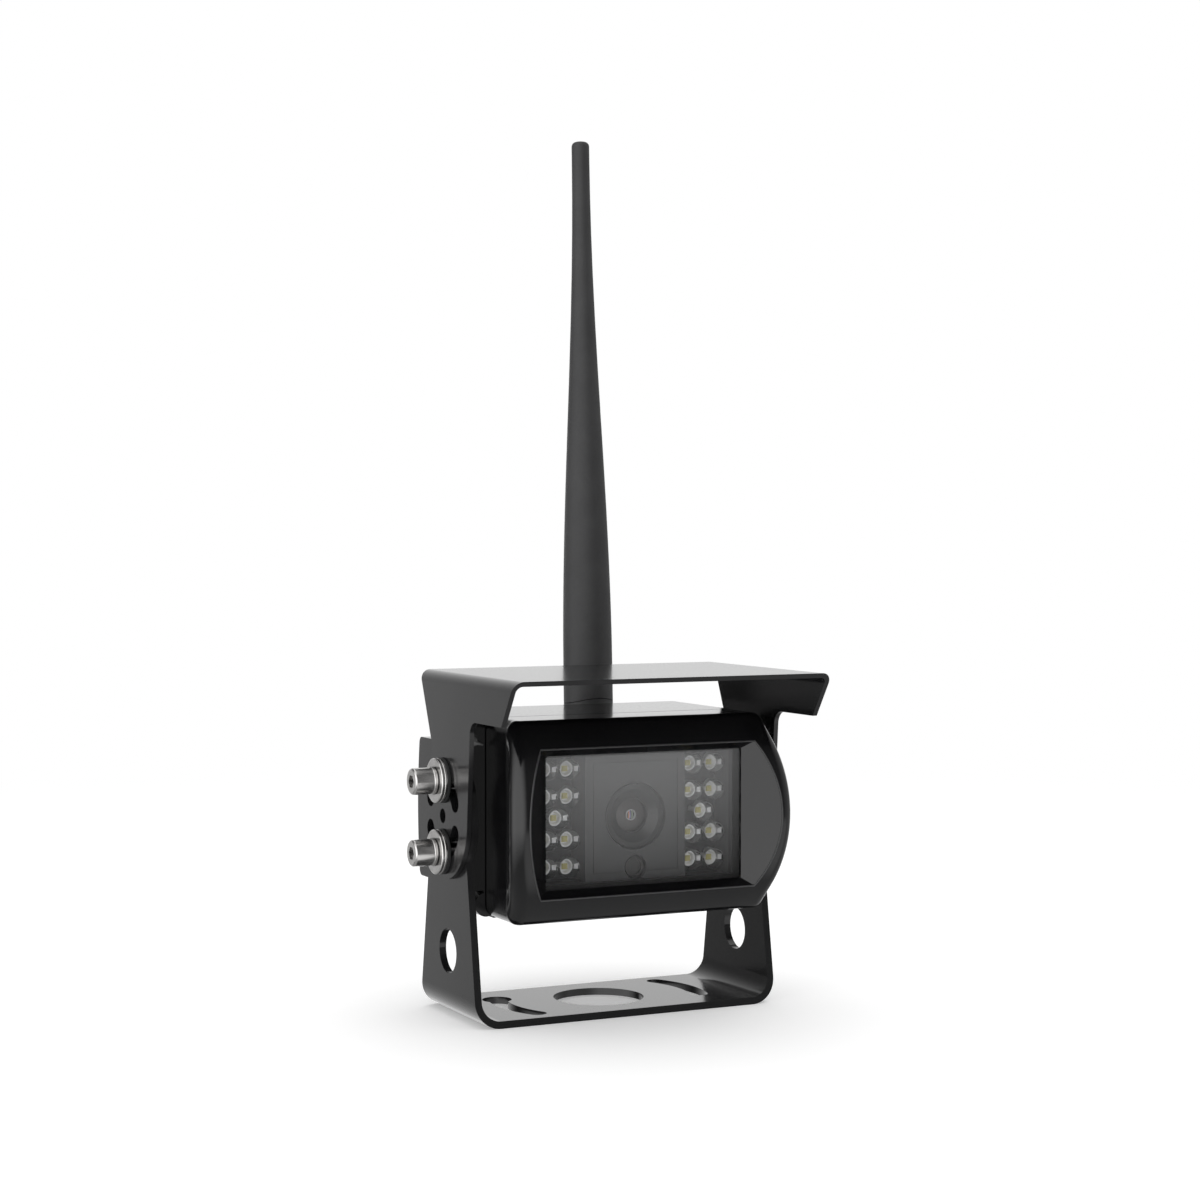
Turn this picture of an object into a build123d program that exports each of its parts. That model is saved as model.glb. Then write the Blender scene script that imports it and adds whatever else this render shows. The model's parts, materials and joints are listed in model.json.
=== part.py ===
from build123d import *
import os
from math import atan, cos, pi, radians, sin, sqrt, tan

# Wireless camera on a U bracket, in millimetres. +Z is up and the lens looks along -Y.
# The origin is under the base, at the middle of its centre hole, with the tilt axis straight above.

# Infrared LEDs and lens panel
LED_R = 2.5
LED_FLANGE_R = 2.9
LED_FLANGE_T = 1.0
LED_LEN = 8.6
LED_BORE_R = 2.2
LED_BORE_LEN = 5.2
LED_SIDE_GAP = 0.4
LED_COLUMN_PITCH = 6.0
LED_FIRST_ROW = 5.3
LED_ROW_PITCH = 6.7
LED_TIP_GAP = 1.4
CUP_R = 1.3
CUP_BOWL_R = 1.1
CUP_FLOOR_R = 0.75
CUP_TOP = 4.4
CUP_DEPTH = 1.4
CUP_BOWL_DEPTH = 0.5
CUP_STEM = 0.6
POST_W = 0.6
POST_H = 0.85
POST_TOP = 4.8
POST_GAP = 0.15
DIE_W = 0.95
DIE_T = 0.3
PANEL_HALF_W = 13.7
PANEL_T = 1.5
PANEL_WALL = 1.2
PANEL_DROP = 0.6
PANEL_GROOVE_INSET = 2.0
PANEL_GROOVE_W = 0.3
PANEL_GROOVE_DEPTH = 0.3
PANEL_END_GAP = 0.2
PANEL_HOLE_GAP = 0.5

# Lens
LENS_RING_R = 7.8
LENS_RING_T = 3.0
LENS_RING_DROP = 0.6
LENS_DISH_R = 6.6
LENS_DISH_DEPTH = 1.5
LENS_ELEMENT_R = 4.25
LENS_ELEMENT_T = 1.5
LENS_ELEMENT_CROWN = 0.9
LENS_THREAD_R = 6.0
LENS_TAIL_R = 2.5
LENS_HOLDER_R = 8.2
LENS_HOLDER_LAP = 4.4
LENS_TAIL_GAP = 2.5
LENS_BASE_HALF = 10.0
LENS_BASE_T = 2.5
PHOTOCELL_R = 2.5
PHOTOCELL_FACE_R = 1.9
PHOTOCELL_FACE_DEPTH = 0.6
PHOTOCELL_DROP = 12.6

# Window
WINDOW_SIDE_MARGIN = 0.8
WINDOW_TOP_MARGIN = 1.3
GLASS_T = 2.5
GLASS_LAP = 1.5
GLASS_SETBACK = 8.5
WINDOW_LIP = 0.8
WINDOW_CORNER_R = 0.8
RECESS_SIDE_FLARE = 0.97
RECESS_TOP_FLARE = 0.72
WINDOW_GASKET_T = 2.0
WINDOW_GASKET_LAP = 0.7
FRAME_LAP = 0.3

# Front bezel
RIM_SIDE = 11.2
RIM_TOP = 8.4
BEZEL_FRONT_R = 34.0
BEZEL_SIDE_R = 3.5
BEZEL_FLARE = 0.42
BEZEL_TAPER = 2.9
BEZEL_CORNER_R = 3.5
BEZEL_BEND_R = 8.0
BEZEL_BACK_Y = -9.6
BOARD_POCKET_SIDE = 1.7
BOARD_POCKET_TOP = 3.6
SCREW_ROOM = 1.8

# Rear housing
SPLIT_GASKET_T = 0.5
SPLIT_GASKET_CORNER = 1.6
SPLIT_GASKET_INSET = 0.8
PAD_PROUD = 1.5
PAD_HALF_H = 17.7
PAD_DEPTH = 3.6
PAD_BACK_Y = 23.4
PAD_BOW = 1.3
PAD_CORNER_R = 1.6
HOUSING_SIDE_HALF_H = 17.2
HOUSING_TOP_INSET = 2.8
HOUSING_BACK_Y = 25.5
HOUSING_REAR_WALL = 4.0
HOUSING_REAR_R = 3.0
HOUSING_SIDE_WALL = 12.4
HOUSING_TOP_WALL = 4.0
CAVITY_CORNER = 6.0
LUG_R = 3.0
LUG_LEN = 6.0
LUG_INSET_X = 4.6
LUG_INSET_Z = 3.4
HOUSING_SCREW_R = 1.25
HOUSING_SCREW_HEAD_R = 2.25
HOUSING_SCREW_HEAD_T = 2.0
HOUSING_SCREW_SLOT_W = 0.6
HOUSING_SCREW_SEAT = 9.0
HOUSING_SCREW_BITE = 7.0
HOUSING_SCREW_X_INSET = 7.4
HOUSING_SCREW_Z_INSET = 4.5

# Boards
BOARD_T = 1.6
BOARD_GAP = 0.5
BOARD_NOTCH = 5.2
SMALL_SCREW_R = 0.95
SMALL_HEAD_R = 1.6
SMALL_HEAD_T = 1.2
SMALL_SCREW_BITE = 4.0
LED_SCREW_X = 20.0
SENSOR_BOARD_Y = -3.0
SENSOR_BOARD_HALF = 14.5
SENSOR_W = 8.0
SENSOR_H = 6.0
SENSOR_T = 1.2
SPACER_AT = 12.0
SPACER_R = 2.0
MAIN_BOARD_Y = 6.0
MAIN_BOARD_GAP = 1.0
BOARD_BOSS_X = 21.0
BOARD_BOSS_Z = 14.5
BOARD_BOSS_R = 3.0
MODULE_W = 9.0
MODULE_H = 13.0
MODULE_T = 3.0
HEADER_W = 6.0
HEADER_H = 2.5
HEADER_DROP = 10.0

# Bracket, visor and pivot
SHEET = 1.8
UNDER_CLEAR = 23.7
BASE_DEPTH = 36.4
BEND_R = 6.5
ARM_TOP_HALF = 12.0
ARM_HOLE_R = 5.5
ARM_HOLE_Z = 16.6
PLATE_GAP = 0.1
HEAD_R = 15.6
SLOT_R = 8.8
SLOT_W = 4.6
SLOT_HALF_ANGLE = 64.0
PIVOT_HOLE_R = 1.8
BASE_HOLE_R = 11.5
BASE_SLOT_R = 26.0
BASE_SLOT_W = 4.6
BASE_SLOT_BACK_ANGLE = 17.0
BASE_SLOT_FRONT_ANGLE = 29.0
KEYHOLE_R = 3.75
VISOR_SHEET = 1.2
VISOR_CLEAR = 9.55
VISOR_BEND_R = 2.7
VISOR_OVERHANG = 9.6
VISOR_FRONT_SLANT = 7.4
VISOR_BACK_Y = 15.0
VISOR_WAIST_Y = 5.2
VISOR_WAIST_DROP = 22.4
VISOR_SKIRT = 11.0
STRAP_LEAN = 1.9
STRAP_FILLET = 3.5
WAIST_FILLET = 4.0

# Pivot bolts and washers
BOLT_R = 2.0
BOLT_HEAD_R = 3.3
BOLT_HEAD_T = 4.9
BOLT_HEAD_ROUND = 0.5
BOLT_SOCKET_ACROSS = 3.0
BOLT_SOCKET_DEPTH = 1.2
BOLT_BITE = 7.0
FIBRE_WASHER_R = 5.6
FIBRE_WASHER_T = 0.7
FIBRE_WASHER_ROUND = 0.15
FLAT_WASHER_R = 5.5
FLAT_WASHER_T = 0.8
FLAT_WASHER_ROUND = 0.22
FLAT_WASHERS = 2
SPRING_WASHER_R = 3.4
SPRING_WASHER_T = 1.1
SPRING_WASHER_ROUND = 0.3
SPRING_WASHER_CUT = 0.5

# Antenna
ANTENNA_X = 19.4
ANTENNA_RISE = 5.5
ANTENNA_PIN_Y = 46.0
ANTENNA_R = 6.75
ANTENNA_TIP_R = 2.43
ANTENNA_LEN = 171.6
ANTENNA_LEAN = 1.9
ANTENNA_TIP_ROUND = 1.3
ANTENNA_TAPER_START = 24.0
ANTENNA_TAPER_END = 5.0
TAPER_PULL = 0.37
SEAM_R = 18.8
SEAM_GAP = 0.2
SPIGOT_R = 4.6
SPIGOT_LEN = 16.0
CORE_R = 1.1
CORE_TIP = 5.0
TONGUE_W = 5.8
TONGUE_R = 6.4
FORK_SIDE_GAP = 0.25
FORK_ROOM = 0.4
PIN_R = 1.5
PIN_HALF_LEN = 6.2
KNUCKLE_R = 6.5
KNUCKLE_STUB_R = 2.2
KNUCKLE_STUB_LEN = 4.5
JACK_R = 3.15
JACK_FLANGE_R = 5.0
JACK_FLANGE_T = 2.5
JACK_NUT_R = 4.6
JACK_NUT_T = 2.5
JACK_TAIL = 4.5
COUPLING_R = 5.0
COUPLING_GAP = 0.3
COUPLING_LEN = 5.0
KNURL_COUNT = 24
KNURL_R = 0.25
LEAD_R = 0.9

# Power inlet
INLET_X = -16.0
INLET_DROP = 6.0
INLET_R = 4.0
INLET_BORE_R = 3.0
INLET_FLANGE_R = 6.5
INLET_FLANGE_T = 3.0
INLET_LEN = 8.0
INLET_FLOOR = 1.0
INLET_NUT_R = 6.0
INLET_NUT_T = 3.0
INLET_TAIL = 4.5
INLET_PIN_R = 0.5
INLET_PIN_CIRCLE = 1.6
INLET_PIN_COUNT = 4
INLET_PIN_LEN = 6.0
SEAL_T = 1.0
SEAL_W = 1.6

# Clearances
FIT = 0.05
RUN_FIT = 0.06
PART_GAP = 0.3
PASS_GAP = 0.6

# Sizes worked out from the inside of the camera outwards
led_inner_x = PANEL_HALF_W + LED_SIDE_GAP + LED_FLANGE_R
led_outer_x = led_inner_x + LED_COLUMN_PITCH
led_top_row = LED_FIRST_ROW + LED_ROW_PITCH
window_half_w = led_outer_x + LED_FLANGE_R + WINDOW_SIDE_MARGIN
window_half_h = led_top_row + LED_FLANGE_R + WINDOW_TOP_MARGIN
pocket_half_w = window_half_w + GLASS_LAP + PART_GAP
pocket_half_h = window_half_h + GLASS_LAP + PART_GAP
board_pocket_half_w = pocket_half_w + BOARD_POCKET_SIDE
board_pocket_half_h = pocket_half_h + BOARD_POCKET_TOP
bezel_half_w = window_half_w + RIM_SIDE
body_half_h = window_half_h + RIM_TOP

# Heights
pivot_z = SHEET + UNDER_CLEAR + body_half_h
visor_top_z = pivot_z + body_half_h + VISOR_CLEAR + VISOR_SHEET
antenna_z = pivot_z + ANTENNA_RISE
inlet_z = pivot_z - INLET_DROP
photocell_z = pivot_z - PHOTOCELL_DROP

# Stations along Y, from the split line forwards
led_board_y = BEZEL_BACK_Y - SCREW_ROOM - BOARD_T
led_tip_y = led_board_y - LED_LEN
glass_back_y = led_tip_y - LED_TIP_GAP
glass_y = glass_back_y - GLASS_T
front_y = glass_y - GLASS_SETBACK
gasket_back_y = glass_back_y + WINDOW_GASKET_T
panel_y = led_tip_y + PANEL_DROP
lens_y = panel_y + LENS_RING_DROP
lens_shoulder_y = lens_y + LENS_RING_T
lens_tail_y = SENSOR_BOARD_Y - SENSOR_T - LENS_TAIL_GAP
element_y = lens_y + LENS_DISH_DEPTH

# Stations along Y, from the split line backwards
housing_y = BEZEL_BACK_Y + SPLIT_GASKET_T
cavity_back_y = HOUSING_BACK_Y - HOUSING_REAR_WALL
main_board_back_y = MAIN_BOARD_Y + BOARD_T
jack_flange_y = HOUSING_BACK_Y + SEAL_T
coupling_y = jack_flange_y + JACK_FLANGE_T + COUPLING_GAP
coupling_end_y = coupling_y + COUPLING_LEN
knuckle_y = coupling_end_y + COUPLING_GAP
knuckle_end_y = ANTENNA_PIN_Y - ANTENNA_R - FORK_ROOM
jack_end_y = coupling_end_y - FIT
inlet_end_y = jack_flange_y + INLET_FLANGE_T + INLET_LEN

# Widths from the body out to the bolt heads
pad_half_w = bezel_half_w + PAD_PROUD
arm_in = pad_half_w + PLATE_GAP
arm_out = arm_in + SHEET
visor_in = arm_out + PLATE_GAP
visor_out = visor_in + VISOR_SHEET
flat_washer_x = visor_out + FIBRE_WASHER_T
spring_washer_x = flat_washer_x + FLAT_WASHERS * FLAT_WASHER_T
bolt_head_x = spring_washer_x + SPRING_WASHER_T

screw_x = bezel_half_w - HOUSING_SCREW_X_INSET
screw_z = body_half_h - HOUSING_SCREW_Z_INSET
bore_fit_r = BOLT_R + FIT
CORNERS = [(sx, sz) for sx in (-1, 1) for sz in (-1, 1)]


# Helpers

def block(x0, x1, y0, y1, z0, z1):
    middle = Pos((x0 + x1) / 2, (y0 + y1) / 2, (z0 + z1) / 2)
    return middle * Box(x1 - x0, y1 - y0, z1 - z0)


def slab(half_w, half_h, y0, y1):
    """A block centred on the lens axis."""
    return block(-half_w, half_w, y0, y1, pivot_z - half_h, pivot_z + half_h)


def rod_y(x, z, radius, y0, y1):
    return Pos(x, (y0 + y1) / 2, z) * Rot(90, 0, 0) * Cylinder(radius, y1 - y0)


def rod_x(y, z, radius, x0, x1):
    return Pos((x0 + x1) / 2, y, z) * Rot(0, 90, 0) * Cylinder(radius, x1 - x0)


def hex_y(x, z, corner_r, y0, y1):
    face = Plane((x, y1, z), x_dir=(1, 0, 0), z_dir=(0, -1, 0)) * RegularPolygon(corner_r, 6)
    return extrude(face, amount=y1 - y0)


def turned_y(x, z, points):
    """Revolve (radius, y) points about an axis along Y."""
    return Pos(x, 0, z) * revolve(Polygon(*points, align=None), axis=Axis.Y)


def side_plate(outline, x0, x1):
    """Extrude a (y, z) outline from x0 to x1."""
    return extrude(Plane.YZ.offset(x0) * outline, amount=x1 - x0)


def mirrored_pair(solid):
    return [solid, mirror(solid, about=Plane.YZ)]


def arc_slot(centre, radius, start, sweep, width):
    return SlotArc(CenterArc(centre, radius, start, sweep), width)


def pivot_cuts():
    """The two arc slots and the centre hole of a pivot plate, as a (y, z) outline."""
    centre = (0, pivot_z)
    sweep = 2 * SLOT_HALF_ANGLE
    cuts = Pos(*centre) * Circle(PIVOT_HOLE_R)
    for middle in (90, 270):
        cuts += arc_slot(centre, SLOT_R, middle - SLOT_HALF_ANGLE, sweep, SLOT_W)
    return cuts


# Bracket and visor

def u_bracket():
    base_half = BASE_DEPTH / 2
    head = Pos(0, pivot_z) * Circle(HEAD_R)
    neck_z = pivot_z - sqrt(HEAD_R ** 2 - ARM_TOP_HALF ** 2)
    arm = Polygon((-base_half, 0), (base_half, 0), (ARM_TOP_HALF, neck_z), (-ARM_TOP_HALF, neck_z),
                  align=None)
    outline = arm + head - pivot_cuts() - Pos(0, ARM_HOLE_Z) * Circle(ARM_HOLE_R)
    top_z = pivot_z + HEAD_R
    outer = fillet(block(-arm_out, arm_out, -base_half, base_half, 0, top_z)
                   .edges().filter_by(Axis.Y).group_by(Axis.Z)[0], BEND_R)
    inner = fillet(block(-arm_in, arm_in, -base_half, base_half, SHEET, top_z)
                   .edges().filter_by(Axis.Y).group_by(Axis.Z)[0], BEND_R - SHEET)
    bent = (outer - inner) & side_plate(outline, -arm_out, arm_out)
    return bent - extrude(base_cuts(), amount=SHEET)


def base_cuts():
    """Centre hole and the two turning slots of the base, as an (x, y) outline."""
    sweep = BASE_SLOT_BACK_ANGLE + BASE_SLOT_FRONT_ANGLE
    key_angle = radians(180 - BASE_SLOT_BACK_ANGLE)
    cuts = Circle(BASE_HOLE_R)
    cuts += arc_slot((0, 0), BASE_SLOT_R, 180 - BASE_SLOT_BACK_ANGLE, sweep, BASE_SLOT_W)
    cuts += arc_slot((0, 0), BASE_SLOT_R, -BASE_SLOT_BACK_ANGLE, sweep, BASE_SLOT_W)
    cuts += Pos(BASE_SLOT_R * cos(key_angle), BASE_SLOT_R * sin(key_angle)) * Circle(KEYHOLE_R)
    return cuts


def visor_outline():
    """Flange, strap and ear of the visor's side, as a (y, z) outline."""
    front = front_y - VISOR_OVERHANG
    skirt_z = visor_top_z - VISOR_SKIRT
    strap_y = -HEAD_R - STRAP_LEAN
    waist = (VISOR_WAIST_Y, visor_top_z - VISOR_WAIST_DROP)
    side = Polygon((front, visor_top_z), (front + VISOR_FRONT_SLANT, skirt_z), (strap_y, skirt_z),
                   (-HEAD_R, pivot_z), (0, pivot_z), waist, (VISOR_BACK_Y, visor_top_z), align=None)
    corner = side.vertices().sort_by_distance((strap_y, skirt_z))[0]
    side = fillet(corner, STRAP_FILLET) + Pos(0, pivot_z) * Circle(HEAD_R)
    notch = side.vertices().sort_by_distance(waist)[0]
    return fillet(notch, WAIST_FILLET) - pivot_cuts()


def sun_visor():
    front = front_y - VISOR_OVERHANG
    low_z = pivot_z - HEAD_R
    outer = fillet(block(-visor_out, visor_out, front, HEAD_R, low_z, visor_top_z)
                   .edges().filter_by(Axis.Y).group_by(Axis.Z)[-1], VISOR_BEND_R)
    inner = fillet(block(-visor_in, visor_in, front, HEAD_R, low_z, visor_top_z - VISOR_SHEET)
                   .edges().filter_by(Axis.Y).group_by(Axis.Z)[-1], VISOR_BEND_R - VISOR_SHEET)
    return (outer - inner) & side_plate(visor_outline(), -visor_out, visor_out)


# Pivot bolts and washers

def at_pivots(make):
    """Place one fastener, made at the origin along +X, at the four pivot points."""
    solids = []
    for dz in (-SLOT_R, SLOT_R):
        solids += mirrored_pair(Pos(0, 0, pivot_z + dz) * make())
    return solids


def washer_x(outer_r, x0, x1, edge_r):
    disc = rod_x(0, 0, outer_r, x0, x1)
    disc = fillet(disc.edges().filter_by(GeomType.CIRCLE), edge_r)
    return disc - rod_x(0, 0, bore_fit_r, x0, x1)


def pivot_bolt():
    end_x = bolt_head_x + BOLT_HEAD_T
    head = rod_x(0, 0, BOLT_HEAD_R, bolt_head_x, end_x)
    head = fillet(head.faces().sort_by(Axis.X)[-1].edges(), BOLT_HEAD_ROUND)
    shank = rod_x(0, 0, BOLT_R, pad_half_w - BOLT_BITE, bolt_head_x)
    socket_face = Plane.YZ.offset(end_x) * RegularPolygon(BOLT_SOCKET_ACROSS / sqrt(3), 6)
    return head + shank - extrude(socket_face, amount=-BOLT_SOCKET_DEPTH)


def spring_washer():
    ring = washer_x(SPRING_WASHER_R, spring_washer_x, bolt_head_x, SPRING_WASHER_ROUND)
    half = SPRING_WASHER_CUT / 2
    return ring - block(spring_washer_x, bolt_head_x, -half, half, 0, SPRING_WASHER_R)


def flat_washer(index):
    x0 = flat_washer_x + index * FLAT_WASHER_T
    return washer_x(FLAT_WASHER_R, x0, x0 + FLAT_WASHER_T, FLAT_WASHER_ROUND)


def flat_washers():
    solids = []
    for index in range(FLAT_WASHERS):
        solids += at_pivots(lambda: flat_washer(index))
    return solids


def fibre_washer():
    return washer_x(FIBRE_WASHER_R, visor_out, flat_washer_x, FIBRE_WASHER_ROUND)


# Front bezel and window

def bezel_blank():
    """The bezel's outside: a turned front, flared sides with bowed round edges, flat top and bottom."""
    back_half = bezel_half_w - BEZEL_TAPER
    corner_reach = tan(pi / 4 + atan(BEZEL_FLARE) / 2)
    wide_half = bezel_half_w + BEZEL_SIDE_R * (corner_reach - 1)
    taper_y = front_y + (wide_half - back_half) / BEZEL_FLARE
    half = [(wide_half, front_y), (back_half, taper_y), (back_half, BEZEL_BACK_Y)]
    plan = Polygon(*half, *[(-x, y) for x, y in reversed(half)], align=None)
    bends = [v for v in plan.vertices() if abs(v.Y - taper_y) < FIT]
    plan = fillet(bends, BEZEL_BEND_R)
    body = extrude(Plane.XY.offset(pivot_z - body_half_h) * plan, amount=2 * body_half_h)
    drum = Polygon((-wide_half, 0), (wide_half, 0), (wide_half, BEZEL_FRONT_R), (-wide_half, BEZEL_FRONT_R),
                   align=None)
    body &= Pos(0, front_y + BEZEL_FRONT_R, pivot_z) * revolve(drum, axis=Axis.X)
    body = fillet(bezel_bowed_edges(body), BEZEL_SIDE_R)
    return fillet(bezel_corner_edges(body), BEZEL_CORNER_R)


def bezel_bowed_edges(body):
    """The two edges where the turned front meets the flared sides."""
    return body.edges().filter_by(GeomType.ELLIPSE)


def bezel_corner_edges(body):
    """The long edges where the bezel's top and bottom meet its sides."""
    sides = [e for e in body.edges() if abs(abs(e.center().Z - pivot_z) - body_half_h) < FIT]
    return [e for e in sides if abs(e.center().X) > bezel_half_w - BEZEL_TAPER - FIT]


def front_bezel():
    body = bezel_blank()
    body -= window_recess() + window_opening()
    body -= slab(pocket_half_w, pocket_half_h, glass_y, led_board_y)
    body -= board_outline(board_pocket_half_w, board_pocket_half_h, BOARD_NOTCH, led_board_y, BEZEL_BACK_Y)
    for sx, sz in CORNERS:
        body -= rod_y(sx * screw_x, pivot_z + sz * screw_z, HOUSING_SCREW_R + FIT,
                      BEZEL_BACK_Y - HOUSING_SCREW_BITE - FIT, BEZEL_BACK_Y)
        body -= rod_y(sx * LED_SCREW_X, pivot_z + sz * led_screw_z(), SMALL_SCREW_R + FIT,
                      led_board_y - SMALL_SCREW_BITE - FIT, led_board_y)
    return body


def window_opening():
    """The straight hole through the lip, with round corners."""
    hole = slab(window_half_w, window_half_h, glass_y - WINDOW_LIP, glass_y)
    return fillet(hole.edges().filter_by(Axis.Y), WINDOW_CORNER_R)


def window_recess():
    """The flared well in front of the glass, with flat sides that meet at creases."""
    small_y = glass_y - WINDOW_LIP
    reach = GLASS_SETBACK
    wide_w = window_half_w + RECESS_SIDE_FLARE * reach
    wide_h = window_half_h + RECESS_TOP_FLARE * reach
    small = Plane((0, small_y, pivot_z), x_dir=(1, 0, 0), z_dir=(0, -1, 0))
    wide = small.offset(reach)
    inside = small * Rectangle(2 * window_half_w, 2 * window_half_h)
    outside = wide * Rectangle(2 * wide_w, 2 * wide_h)
    return loft([inside, outside], ruled=True)


def board_outline(half_w, half_h, notch, y0, y1):
    """A rectangle with cut corners, as thick as y0 to y1."""
    w, h, n = half_w, half_h, notch
    points = [(w, h - n), (w - n, h), (n - w, h), (-w, h - n),
              (-w, n - h), (n - w, -h), (w - n, -h), (w, n - h)]
    face = Plane((0, y1, pivot_z), x_dir=(1, 0, 0), z_dir=(0, -1, 0)) * Polygon(*points, align=None)
    return extrude(face, amount=y1 - y0)


def window_ring(lap, y0, y1):
    """A rectangular ring in the window pocket, its inside lap mm inside the window."""
    outer = slab(pocket_half_w - PART_GAP, pocket_half_h - PART_GAP, y0, y1)
    return outer - slab(window_half_w - lap, window_half_h - lap, y0, y1)


def window_glass():
    return slab(pocket_half_w - PART_GAP, pocket_half_h - PART_GAP, glass_y, glass_back_y)


# LEDs

def led_places():
    places = []
    for side in (-1, 1):
        for row in (-led_top_row, -LED_FIRST_ROW, LED_FIRST_ROW, led_top_row):
            places += [(side * led_inner_x, row), (side * led_outer_x, row)]
        places.append((side * (led_inner_x + led_outer_x) / 2, 0))
    return places


def at_leds(make):
    """Place one solid, made standing on the board at the lens axis, at each LED."""
    solid = make()
    return [Pos(x, 0, row) * solid for x, row in led_places()]


def led_dome():
    y = led_board_y
    straight_y = y - LED_LEN + LED_R
    body = rod_y(0, pivot_z, LED_FLANGE_R, y - LED_FLANGE_T, y)
    body += rod_y(0, pivot_z, LED_R, straight_y, y)
    body += Pos(0, straight_y, pivot_z) * Sphere(LED_R)
    return body - rod_y(0, pivot_z, LED_BORE_R, y - LED_BORE_LEN, y)


def led_cup():
    y = led_board_y
    top_y = y - CUP_TOP
    base_y = top_y + CUP_DEPTH
    floor_y = top_y + CUP_BOWL_DEPTH
    half = CUP_STEM / 2
    cup = turned_y(0, pivot_z, [(0, base_y), (half, base_y), (CUP_R, top_y), (CUP_BOWL_R, top_y),
                                (CUP_FLOOR_R, floor_y), (0, floor_y)])
    return cup + slab(half, half, base_y, y)


def led_post():
    x0 = CUP_R + POST_GAP
    half = POST_H / 2
    return block(x0, x0 + POST_W, led_board_y - POST_TOP, led_board_y, pivot_z - half, pivot_z + half)


def led_die():
    floor_y = led_board_y - CUP_TOP + CUP_BOWL_DEPTH
    return slab(DIE_W / 2, DIE_W / 2, floor_y - DIE_T, floor_y)


def led_screw_z():
    return pocket_half_h + BOARD_POCKET_TOP / 2


def led_board():
    half_w = board_pocket_half_w - BOARD_GAP
    half_h = board_pocket_half_h - BOARD_GAP
    board = board_outline(half_w, half_h, BOARD_NOTCH, led_board_y, led_board_y + BOARD_T)
    board -= rod_y(0, pivot_z, LENS_HOLDER_R + PART_GAP, led_board_y, led_board_y + BOARD_T)
    for sx, sz in CORNERS:
        board -= rod_y(sx * LED_SCREW_X, pivot_z + sz * led_screw_z(), SMALL_SCREW_R + FIT,
                       led_board_y, led_board_y + BOARD_T)
    return board


def small_screw(x, z, seat_y, forward, grip):
    """A pan-head screw along Y, its head resting on seat_y and its shank grip mm long."""
    way = -1 if forward else 1
    head_ys = sorted((seat_y, seat_y - way * SMALL_HEAD_T))
    shank_ys = sorted((seat_y, seat_y + way * grip))
    return rod_y(x, z, SMALL_HEAD_R, *head_ys) + rod_y(x, z, SMALL_SCREW_R, *shank_ys)


def led_board_screws():
    seat = led_board_y + BOARD_T
    grip = BOARD_T + SMALL_SCREW_BITE
    return [small_screw(sx * LED_SCREW_X, pivot_z + sz * led_screw_z(), seat, True, grip)
            for sx, sz in CORNERS]


# Lens and photocell

def lens_panel():
    half_h = window_half_h - FRAME_LAP - PANEL_END_GAP
    plate_back_y = panel_y + PANEL_T
    panel = slab(PANEL_HALF_W, half_h, panel_y, led_board_y)
    panel -= slab(PANEL_HALF_W - PANEL_WALL, half_h, plate_back_y, led_board_y)
    groove_w = PANEL_HALF_W - PANEL_GROOVE_INSET
    groove_h = half_h - PANEL_GROOVE_INSET
    groove_y = panel_y + PANEL_GROOVE_DEPTH
    groove = slab(groove_w, groove_h, panel_y, groove_y)
    groove -= slab(groove_w - PANEL_GROOVE_W, groove_h - PANEL_GROOVE_W, panel_y, groove_y)
    panel -= groove
    panel -= rod_y(0, pivot_z, LENS_RING_R + PANEL_HOLE_GAP, panel_y, plate_back_y)
    return panel - rod_y(0, photocell_z, PHOTOCELL_R + PANEL_HOLE_GAP, panel_y, plate_back_y)


def lens_barrel():
    seat_y = element_y + LENS_ELEMENT_CROWN + LENS_ELEMENT_T
    bore_r = LENS_ELEMENT_R + FIT
    return turned_y(0, pivot_z, [
        (LENS_DISH_R, lens_y), (LENS_RING_R, lens_y), (LENS_RING_R, lens_shoulder_y),
        (LENS_THREAD_R, lens_shoulder_y), (LENS_THREAD_R, lens_tail_y), (LENS_TAIL_R, lens_tail_y),
        (LENS_TAIL_R, seat_y), (bore_r, seat_y), (bore_r, element_y)])


def lens_element():
    """A plano-convex front glass, crowned towards -Y."""
    rim_y = element_y + LENS_ELEMENT_CROWN
    glass = rod_y(0, pivot_z, LENS_ELEMENT_R, rim_y - LENS_ELEMENT_CROWN, rim_y + LENS_ELEMENT_T)
    crown_r = (LENS_ELEMENT_R ** 2 + LENS_ELEMENT_CROWN ** 2) / (2 * LENS_ELEMENT_CROWN)
    return glass & Pos(0, element_y + crown_r, pivot_z) * Sphere(crown_r)


def lens_holder():
    """A threaded tube on a square foot, standing on the sensor board."""
    foot_y = SENSOR_BOARD_Y - LENS_BASE_T
    front = lens_tail_y - LENS_HOLDER_LAP
    holder = rod_y(0, pivot_z, LENS_HOLDER_R, front, foot_y)
    holder += slab(LENS_BASE_HALF, LENS_BASE_HALF, foot_y, SENSOR_BOARD_Y)
    return holder - rod_y(0, pivot_z, LENS_THREAD_R + FIT, front, SENSOR_BOARD_Y)


def photocell():
    front = panel_y + LENS_RING_DROP
    cell = rod_y(0, photocell_z, PHOTOCELL_R, front, led_board_y)
    return cell - rod_y(0, photocell_z, PHOTOCELL_FACE_R, front, front + PHOTOCELL_FACE_DEPTH)


# Boards behind the lens

def sensor_board():
    half = SENSOR_BOARD_HALF
    board = slab(half, half, SENSOR_BOARD_Y, SENSOR_BOARD_Y + BOARD_T)
    for sx, sz in CORNERS:
        board -= rod_y(sx * SPACER_AT, pivot_z + sz * SPACER_AT, SMALL_SCREW_R + FIT,
                       SENSOR_BOARD_Y, SENSOR_BOARD_Y + BOARD_T)
    return board


def image_sensor():
    return slab(SENSOR_W / 2, SENSOR_H / 2, SENSOR_BOARD_Y - SENSOR_T, SENSOR_BOARD_Y)


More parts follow.
